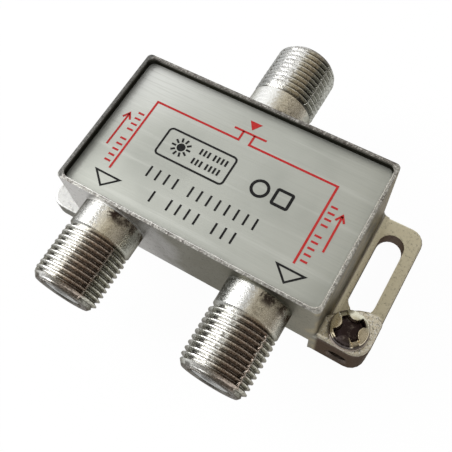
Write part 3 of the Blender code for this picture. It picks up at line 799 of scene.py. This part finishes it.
def addThread(name, insulator, direction):
    lowBox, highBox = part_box(insulator)
    axisX = (lowBox.x + highBox.x) / 2
    axisZ = (lowBox.z + highBox.z) / 2
    housingLow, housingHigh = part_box("housing")
    end = housingHigh.y if direction > 0 else -housingLow.y
    builder = bmesh.new()

    def addPoint(fromEnd, radius, degrees):
        angle = math.radians(degrees)
        return builder.verts.new((
            axisX + direction * radius * math.sin(angle),
            direction * (end - fromEnd),
            axisZ + radius * math.cos(angle)))

    # smooth neck with a slope down to the thread's root
    angles = threadAngles()
    neck = []
    for fromEnd, radius in (
            (thread["bodyFromEnd"], thread["endRadius"]),
            (thread["bodyFromEnd"], thread["neckRadius"]),
            (thread["neckFromEnd"], thread["neckRadius"]),
            (thread["startFromEnd"], thread["rootRadius"])):
        neck.append([addPoint(fromEnd, radius, degrees) for degrees in angles])
    joinLoops(builder, neck)

    # rows that follow the helix, so that its crests stay crisp
    profile = thread["turnProfile"]
    turnCount = int(thread["startFromEnd"] / thread["pitch"]) + 3  # with spare turns past the end
    rows = []
    for turn in range(-1, turnCount):
        for share, height in profile:
            turns = turn + share
            row = []
            for degrees in angles:
                fromEnd = thread["startFromEnd"] - thread["pitch"] * (turns - 0.5 + degrees / 360)
                radius = threadRadius(fromEnd, height, degrees, turns)
                past = max(0.0, thread["stopFromEnd"] - fromEnd)
                row.append(addPoint(max(fromEnd, thread["stopFromEnd"]), radius - past * thread["endTaper"],
                                    degrees))
            rows.append(row)
    last = len(angles) - 1
    for index in range(len(rows) - 1):
        for column in range(last):
            builder.faces.new((rows[index][column], rows[index][column + 1],
                               rows[index + 1][column + 1], rows[index + 1][column]))
        joined = index + len(profile)
        if joined + 1 < len(rows):
            builder.faces.new((rows[index][last], rows[joined][0],
                               rows[joined + 1][0], rows[index + 1][last]))
    bmesh.ops.recalc_face_normals(builder, faces=builder.faces)
    return addPiece(name, builder, casting, smoothAngle=35)


addThread("inputThread", "insulator_in", 1)
addThread("leftOutputThread", "insulator_out_left", -1)
addThread("rightOutputThread", "insulator_out_right", -1)
print("threads cut")


# Pressed edge of the cover, which closes the gap to the casting
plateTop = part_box("cover_plate")[1].z
pressedEdge = {
    "inner": -0.25 * mm,
    "crown": 0.05 * mm,
    "outer": 0.285 * mm,
    "corner": 0.6 * mm,
    # side, and height from the plate's top
    "section": (("inner", -0.1 * mm), ("inner", 0.006 * mm), ("crown", 0.012 * mm),
                ("outer", 0.0072 * mm), ("outer", -0.25 * mm), ("crown", -0.25 * mm)),
}


def edgeLoop(builder, grow, level):
    lowBox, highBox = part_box("cover_plate")
    outline = roundedBox((lowBox.x - grow) / mm, (highBox.x + grow) / mm, (lowBox.y - grow) / mm,
                         (highBox.y + grow) / mm, (pressedEdge["corner"] + grow) / mm)
    return [builder.verts.new((x * mm, y * mm, level)) for x, y in outline]


def closeStrip(builder, loops):
    joinLoops(builder, loops + loops[:1])
    bmesh.ops.recalc_face_normals(builder, faces=builder.faces)


def addPressedEdge():
    builder = bmesh.new()
    loops = [edgeLoop(builder, pressedEdge[side], plateTop + up) for side, up in pressedEdge["section"]]
    closeStrip(builder, loops)
    return addPiece("pressedEdge", builder, sheet, smoothAngle=30)


# Inner edge of the rim, with a painted highlight and painted shade
rimEdge = {
    # out from the plate and up from the rim, in millimetres
    "section": ((0.44, -0.30), (0.44, 0.004), (0.385, 0.006), (0.31, -0.045), (0.284, -0.10), (0.284, -0.30)),
    "bright": (0.86, 0.86, 0.82),
    "edgeShade": (0.10, 0.095, 0.085),
    "fade": (0.2 * mm, 1.2 * mm),  # from the plate's left and back edges
    "noise": (1300.0, 4.0),
    "wear": (0.30, 0.52, 0.6, 1.0),
    "roughness": (0.3, 0.7, 0.22, 0.34),
}


def rimEdgeHighlight():
    # painted highlight along the front and the right, broken by noise, and painted shade elsewhere
    material, tree, shader = startMaterial("rimEdgeHighlight")
    place, x, y = objectPlace(tree)[:3]
    lowBox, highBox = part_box("cover_plate")
    wear = noiseAt(tree, place, *rimEdge["noise"])
    near, far = rimEdge["fade"]
    # painted highlight away from the plate's left and back edges
    highlighted = product(tree, rampValue(tree, x, lowBox.x + near, lowBox.x + far),
                     rampValue(tree, y, highBox.y - near, highBox.y - far),
                     rampValue(tree, wear, *rimEdge["wear"]))
    setShader(tree, shader, mixColour(tree, highlighted, rimEdge["edgeShade"], rimEdge["bright"]),
              rampValue(tree, wear, *rimEdge["roughness"]), 1.0)
    return material


def addRimEdge():
    # a chamfer round the recess
    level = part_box("housing")[1].z
    builder = bmesh.new()
    loops = [edgeLoop(builder, out * mm, level + up * mm) for out, up in rimEdge["section"]]
    closeStrip(builder, loops)
    return addPiece("rimEdge", builder, rimEdgeHighlight(), smoothAngle=25)


# Print on the cover
ink = {
    "middle": (-0.06, -0.13),
    "lift": 0.02 * mm,
    "redLine": 0.32 * mm,
    "arrowLine": 0.30 * mm,
    "blackLine": 0.30 * mm,
    "tickLine": 0.30 * mm,
    "mitreLimit": 0.3,
}


def inkLevel():
    return plateTop + ink["lift"]


def flatFace(builder, outline):
    # outlines are in millimetres from the middle of the print
    moveX, moveY = ink["middle"]
    corners = [((x + moveX) * mm, (y + moveY) * mm, inkLevel()) for x, y in outline]
    face = builder.faces.new([builder.verts.new(corner) for corner in corners])
    turning = sum(a[0] * b[1] - b[0] * a[1] for a, b in zip(outline, outline[1:] + outline[:1]))
    if turning < 0:
        face.normal_flip()


def stroke(builder, points, width, closed=False):
    # a line of even width through points, mitred at its corners; widths in metres, points in millimetres
    half = width / mm / 2
    points = [Vector(point) for point in points]
    count = len(points)
    edgeLeft = []
    edgeRight = []
    for index, point in enumerate(points):
        before = points[index - 1] if closed or index > 0 else None
        after = points[(index + 1) % count] if closed or index < count - 1 else None
        directions = []
        if before is not None:
            directions.append((point - before).normalized())
        if after is not None:
            directions.append((after - point).normalized())
        normals = [Vector((-d.y, d.x)) for d in directions]
        mitre = sum(normals, Vector((0, 0))).normalized()
        reach = half / max(ink["mitreLimit"], mitre.dot(normals[0]))
        edgeLeft.append(point + mitre * reach)
        edgeRight.append(point - mitre * reach)
    last = count if closed else count - 1
    for index in range(last):
        following = (index + 1) % count
        flatFace(builder, [tuple(p) for p in
                           (edgeRight[index], edgeRight[following], edgeLeft[following], edgeLeft[index])])


def roundedBox(lowX, highX, lowY, highY, radius, steps=6):
    corners = ((highX, highY, 0), (lowX, highY, 90), (lowX, lowY, 180), (highX, lowY, 270))
    points = []
    for x, y, first in corners:
        centreX = x - math.copysign(radius, x - (lowX + highX) / 2)
        centreY = y - math.copysign(radius, y - (lowY + highY) / 2)
        for step in range(steps + 1):
            angle = math.radians(first + 90 * step / steps)
            points.append((centreX + radius * math.cos(angle), centreY + radius * math.sin(angle)))
    return points


def circlePoints(x, y, radius, steps=36):
    angles = [2 * math.pi * step / steps for step in range(steps)]
    return [(x + radius * math.cos(angle), y + radius * math.sin(angle)) for angle in angles]


def tickRow(builder, start, heading, groups, height, pitch, gap):
    # groups of short upright marks along a heading in degrees
    turn = Matrix.Rotation(math.radians(heading), 2)
    along = 0.0
    for group in groups:
        for tick in range(group):
            centre = Vector(start) + turn @ Vector((along, 0))
            top = centre + turn @ Vector((0, height))
            stroke(builder, [centre, top], ink["tickLine"])
            along += pitch
        along += gap


circuitLines = {
    "leftRun": ((-14.25, -6.5), (-14.25, 5.5), (-1.2, 5.5), (-1.2, 7.0)),
    "rightRun": ((13.65, -6.6), (13.65, 5.4), (0.5, 5.4), (0.5, 7.0)),
    "crossBar": ((-2.65, 7.0), (2.3, 7.0)),
    "leftArrow": ((-16.8, -3.55), (-16.75, 2.0)),
    "rightArrow": ((16.1, -3.6), (16.05, 1.9)),
    "headLength": 0.85,
    "headHalfWidth": 0.6,
    "tipReach": 0.1,
}


def addCircuitLines():
    builder = bmesh.new()
    for name in ("leftRun", "rightRun", "crossBar"):
        stroke(builder, circuitLines[name], ink["redLine"])
    for name in ("leftArrow", "rightArrow"):
        tail, tip = (Vector(point) for point in circuitLines[name])
        stroke(builder, [tail, tip], ink["arrowLine"])
        heading = (tip - tail).normalized()
        side = Vector((-heading.y, heading.x))
        back = tip - heading * circuitLines["headLength"]
        wing = side * circuitLines["headHalfWidth"]
        point = tip + heading * circuitLines["tipReach"]
        stroke(builder, [back + wing, point, back - wing], ink["arrowLine"])
    return addPiece("circuitLines", builder, redInk)


portMarks = {
    "inputMark": (-0.3, 8.2),
    "leftPassRow": (-14.75, -5.6),
    "rightPassRow": (15.1, -5.8),
    "passGroups": (5, 4),
    "passHeading": 90,
    "passTick": (0.95, 0.95, 0.7),  # height, pitch and gap between groups
    "markShape": ((-0.95, 0.75), (0.0, -0.6), (0.95, 0.75)),
}


def addRedMarks():
    builder = bmesh.new()
    x, y = portMarks["inputMark"]
    flatFace(builder, [(x + byX, y + byY) for byX, byY in portMarks["markShape"]])
    for name in ("leftPassRow", "rightPassRow"):
        tickRow(builder, portMarks[name], portMarks["passHeading"], portMarks["passGroups"],
                *portMarks["passTick"])
    return addPiece("redMarks", builder, redInk)


plateFields = {
    "frameBox": (-10.25, 0.3, -1.6, 2.85),
    "frameRound": 0.55,
    "burstCentre": (-7.4, 0.75),
    "burstCore": 0.62,
    "burstReach": 1.45,
    "burstRays": 10,
    "burstRayStart": 0.8,
    # rows of ticks: start, heading, groups, height, pitch and gap between groups
    "tickRows": (
        ((-4.6, 1.0), 0, (3, 4), 0.95, 0.6, 0.3),
        ((-4.9, -0.7), 0, (3, 4), 0.95, 0.6, 0.3),
        ((-9.2, -5.2), 0, (4, 8), 1.7, 1.38, 1.0),
        ((-6.8, -8.2), 0, (1, 4, 3), 1.7, 1.38, 1.3),
    ),
    "ringCentre": (5.0, 0.4),
    "ringRadius": 1.15,
    "squareCentre": (8.3, 0.4),
    "squareHalf": 1.1,
    "squareRound": 0.2,
    "boldLine": 0.42 * mm,
    "thinLine": 0.28 * mm,
    "outputShape": ((-1.9, 0.85), (1.9, 0.85), (0.0, -0.95)),
    "leftOutputMark": (-13.8, -8.3),
    "rightOutputMark": (13.8, -8.4),
}


def addBlackFields():
    builder = bmesh.new()
    frameOutline = roundedBox(*plateFields["frameBox"], plateFields["frameRound"])
    stroke(builder, frameOutline, ink["blackLine"], closed=True)
    burst = Vector(plateFields["burstCentre"])
    flatFace(builder, circlePoints(burst.x, burst.y, plateFields["burstCore"], steps=24))
    for index in range(plateFields["burstRays"]):
        angle = 2 * math.pi * index / plateFields["burstRays"]
        way = Vector((math.cos(angle), math.sin(angle)))
        ray = [burst + way * plateFields["burstRayStart"], burst + way * plateFields["burstReach"]]
        stroke(builder, ray, ink["tickLine"])
    for row in plateFields["tickRows"]:
        tickRow(builder, *row)
    ring = circlePoints(*plateFields["ringCentre"], plateFields["ringRadius"])
    stroke(builder, ring, plateFields["boldLine"], closed=True)
    x, y = plateFields["squareCentre"]
    half = plateFields["squareHalf"]
    square = roundedBox(x - half, x + half, y - half, y + half, plateFields["squareRound"])
    stroke(builder, square, plateFields["boldLine"], closed=True)
    for name in ("leftOutputMark", "rightOutputMark"):
        x, y = plateFields[name]
        outline = [(x + byX, y + byY) for byX, byY in plateFields["outputShape"]]
        stroke(builder, outline, plateFields["thinLine"], closed=True)
    return addPiece("blackFields", builder, blackInk)


addPressedEdge()
addRimEdge()
addCircuitLines()
addRedMarks()
addBlackFields()
print("cover printed")


# Ground screw
screwHead = {
    "rings": 44,
    "spokes": 160,
    "domeDrop": 0.42 * mm,
    "domeStart": 0.35,  # share of the head's radius
    "domePower": 2.2,
    "cornerDrop": 0.10 * mm,
    "cornerPower": 10,
    "headHeight": 1.8 * mm,
    "headShare": 0.915,  # of the flange's radius
    "flangeThickness": 0.42 * mm,
    "recessSquash": 0.86,
    "tipTaper": 0.4 * mm,
    "shankRows": 8,  # to a turn
    "slotHalfWidth": 0.56 * mm,
    "slotDepth": 0.42 * mm,
    "recessDepth": 1.05 * mm,
    "recessRadius": 2.15 * mm,
    "padPlace": 2.20 * mm,  # centre of each pad from the middle
    "padRadius": 1.02 * mm,
    "edge": 0.16 * mm,
    "turn": 47,
    "shankRadius": 1.65 * mm,
    "shankPitch": 0.6 * mm,
    "shankDepth": 0.22 * mm,
    "recessFloor": 0.05 * mm,  # above the flange
    # share of the radius, and millimetres above the flange's top or above its seat
    "headFoot": ((1.005, 0.35), (1.01, 0.06), (1.03, 0.0)),
    "flangeTopEdge": ((0.985, -0.02), (1.0, -0.10)),
    "flangeSeatEdge": ((1.0, 0.06), (0.985, 0.0)),
}


def softStep(value, edge):
    share = max(0.0, min(1.0, value / edge))
    return share * share * (3 - 2 * share)


def recessAt(x, y, radius):
    # depth of the driver recess at a point of the head: a slot, and a cross left between four round pads
    slot = softStep(screwHead["slotHalfWidth"] - abs(x), screwHead["edge"]) * screwHead["slotDepth"]
    padX = abs(x) - screwHead["padPlace"] * math.sqrt(0.5)
    padY = abs(y) - screwHead["padPlace"] * math.sqrt(0.5)
    clear = math.hypot(padX, padY) - screwHead["padRadius"]
    squash = screwHead["recessSquash"] if abs(y) > abs(x) else 1.0
    reach = softStep(screwHead["recessRadius"] * squash - radius, screwHead["edge"])
    cross = softStep(clear, screwHead["edge"]) * reach * screwHead["recessDepth"]
    return max(slot, cross)


def addGroundScrew():
    lowBox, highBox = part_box("ground_screw")
    centre = (lowBox + highBox) / 2
    flangeRadius = (highBox.x - lowBox.x) / 2
    headRadius = flangeRadius * screwHead["headShare"]
    top = highBox.z
    seat = top - screwHead["headHeight"]
    flangeTop = seat + screwHead["flangeThickness"]
    outline = []
    for ring in range(1, screwHead["rings"] + 1):
        radius = headRadius * ring / screwHead["rings"]
        share = max(0.0, (radius / headRadius - screwHead["domeStart"]) / (1 - screwHead["domeStart"]))
        drop = screwHead["domeDrop"] * share ** screwHead["domePower"]
        drop += screwHead["cornerDrop"] * share ** screwHead["cornerPower"]
        outline.append((radius, top - drop, True))
    for edge, radius, level in (
            ("headFoot", headRadius, flangeTop),
            ("flangeTopEdge", flangeRadius, flangeTop),
            ("flangeSeatEdge", flangeRadius, seat)):
        outline += [(radius * share, level + up * mm, False) for share, up in screwHead[edge]]
    outline.append((screwHead["shankRadius"], seat, False))
    builder = bmesh.new()
    turn = math.radians(screwHead["turn"])
    middle = builder.verts.new((centre.x, centre.y, top - screwHead["recessDepth"]))
    rings = []
    for radius, level, carved in outline:
        verts = []
        for spoke in range(screwHead["spokes"]):
            angle = 2 * math.pi * spoke / screwHead["spokes"]
            x = radius * math.cos(angle)
            y = radius * math.sin(angle)
            cut = recessAt(x, y, radius) if carved else 0.0
            verts.append(builder.verts.new((
                centre.x + x * math.cos(turn) - y * math.sin(turn),
                centre.y + x * math.sin(turn) + y * math.cos(turn),
                max(level - cut, flangeTop + screwHead["recessFloor"]) if carved else level)))
        rings.append(verts)
    low = lowBox.z
    rows = int((seat - low) / screwHead["shankPitch"] * screwHead["shankRows"])
    for row in range(1, rows + 1):
        level = seat + (low - seat) * row / rows
        verts = []
        for spoke in range(screwHead["spokes"]):
            turns = level / screwHead["shankPitch"] - spoke / screwHead["spokes"]
            wave = abs((turns % 1.0) * 2 - 1)
            radius = screwHead["shankRadius"] - screwHead["shankDepth"] * wave
            radius = min(radius, screwHead["shankRadius"] - screwHead["tipTaper"] + (level - low))
            angle = 2 * math.pi * spoke / screwHead["spokes"]
            verts.append(builder.verts.new((
                centre.x + radius * math.cos(angle + turn),
                centre.y + radius * math.sin(angle + turn),
                level)))
        rings.append(verts)
    count = screwHead["spokes"]
    for spoke in range(count):
        builder.faces.new((middle, rings[0][spoke], rings[0][(spoke + 1) % count]))
    for ring, after in zip(rings, rings[1:]):
        for spoke in range(count):
            following = (spoke + 1) % count
            builder.faces.new((ring[spoke], after[spoke], after[following], ring[following]))
    builder.faces.new(list(reversed(rings[-1])))
    bmesh.ops.recalc_face_normals(builder, faces=builder.faces)
    piece = addPiece("groundScrew", builder, screwSteel, smoothAngle=50)
    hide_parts("ground_screw")
    return piece


addGroundScrew()
print("ground screw in place")


# Floor, light and camera
studio = {
    "floorSize": 3.0,
    "floorColour": 0.90,
    "floorGlow": 0.97,
    "floorRoughness": 0.9,
    "floorGap": 0.02 * mm,  # below the ears
    "worldLevel": 0.55,
    "cards": (
        # name, centre, size, facing, colour; metal alone reflects them
        ("beigeCard", (0.025, 0.05, 0.25), (0.07, 0.40), (0, 0, -1), (0.60, 0.56, 0.47)),
        ("darkCard", (0.105, 0.05, 0.25), (0.09, 0.40), (0, 0, -1), (0.25, 0.22, 0.19)),
        ("rightCard", (0.085, 0.02, 0.125), (0.25, 0.44), (-1, 0, 0), (0.20, 0.185, 0.16)),
        ("frontCard", (0.0, -0.15, 0.06), (0.30, 0.12), (0, 1, 0), (0.22, 0.21, 0.19)),
    ),
    "lamps": (
        # name, place, size, power in watts
        ("leftWindow", (-0.32, -0.06, 0.22), 0.26, 1.6),
        ("rightFill", (0.30, 0.10, 0.20), 0.20, 0.35),
    ),
}


def rayMask(tree):
    # 1 for rays that see the backdrop straight, in metal or through glass
    light = addNode(tree, "ShaderNodeLightPath")
    seen = math2(tree, "MAXIMUM", light.outputs["Is Camera Ray"], light.outputs["Is Glossy Ray"])
    return math2(tree, "MAXIMUM", seen, light.outputs["Is Transmission Ray"])


def addPlane(name, material, size):
    builder = bmesh.new()
    bmesh.ops.create_grid(builder, x_segments=1, y_segments=1, size=size / 2)
    mesh = bpy.data.meshes.new(name)
    builder.to_mesh(mesh)
    builder.free()
    mesh.materials.append(material)
    return addToScene(name, mesh)


def addFloor():
    material, tree, shader = startMaterial("paleFloor")
    shader.inputs["Base Color"].default_value = (studio["floorColour"],) * 3 + (1.0,)
    shader.inputs["Roughness"].default_value = studio["floorRoughness"]
    glow = addNode(tree, "ShaderNodeEmission", values={"Strength": 1.0})
    mix = addNode(tree, "ShaderNodeMixShader")
    output = tree.nodes["Material Output"]
    tree.links.new(math2(tree, "MULTIPLY", rayMask(tree), studio["floorGlow"]), mix.inputs[0])
    tree.links.new(shader.outputs[0], mix.inputs[1])
    tree.links.new(glow.outputs[0], mix.inputs[2])
    tree.links.new(mix.outputs[0], output.inputs["Surface"])
    floor = addPlane("floor", material, studio["floorSize"])
    floor.location.z = -studio["floorGap"]


def addCard(name, place, size, facing, colour):
    material, tree = startMaterial(name)[:2]
    glow = addNode(tree, "ShaderNodeEmission", values={"Color": (*colour, 1.0), "Strength": 1.0})
    tree.links.new(glow.outputs[0], tree.nodes["Material Output"].inputs["Surface"])
    card = addPlane(name, material, 1.0)
    card.location = place
    card.scale = (size[0], size[1], 1)
    card.rotation_euler = Vector(facing).to_track_quat("Z", "Y").to_euler()
    card.visible_camera = False
    card.visible_diffuse = False
    card.visible_shadow = False


def addLamp(name, place, size, power):
    lamp = bpy.data.lights.new(name, "AREA")
    lamp.size = size
    lamp.energy = power
    holder = addToScene(name, lamp)
    holder.location = place
    holder.rotation_euler = (-Vector(place)).to_track_quat("-Z", "Y").to_euler()


def addWorld():
    world = bpy.data.worlds.new("studioWorld")
    world.use_nodes = True
    bpy.context.scene.world = world
    tree = world.node_tree
    background = tree.nodes["Background"]
    background.inputs["Color"].default_value = (1, 1, 1, 1)
    strength = rampValue(tree, rayMask(tree), 0.0, 1.0, studio["worldLevel"], 1.0)
    tree.links.new(strength, background.inputs["Strength"])


cameraSetup = {
    "lens": 49.38,
    "sensorWidth": 36.0,
    "clipRange": (0.005, 10.0),
    "place": (24.70 * mm, -31.63 * mm, 86.67 * mm),
    "right": (0.85700, 0.51043, -0.07075),
    "up": (-0.44097, 0.79746, 0.41184),
    "forward": (-0.26663, 0.32175, -0.90851),
}


def addCamera():
    data = bpy.data.cameras.new("camera")
    data.lens = cameraSetup["lens"]
    data.sensor_width = cameraSetup["sensorWidth"]
    data.clip_start, data.clip_end = cameraSetup["clipRange"]
    camera = addToScene("camera", data)
    columns = (cameraSetup["right"], cameraSetup["up"], tuple(-v for v in cameraSetup["forward"]))
    turn = Matrix([[column[row] for column in columns] for row in range(3)])
    camera.matrix_world = Matrix.Translation(cameraSetup["place"]) @ turn.to_4x4()
    bpy.context.scene.camera = camera


addFloor()
for card in studio["cards"]:
    addCard(*card)
for lampValues in studio["lamps"]:
    addLamp(*lampValues)
addWorld()
addCamera()
bpy.context.scene.view_settings.view_transform = "Standard"
print("studio and camera set")
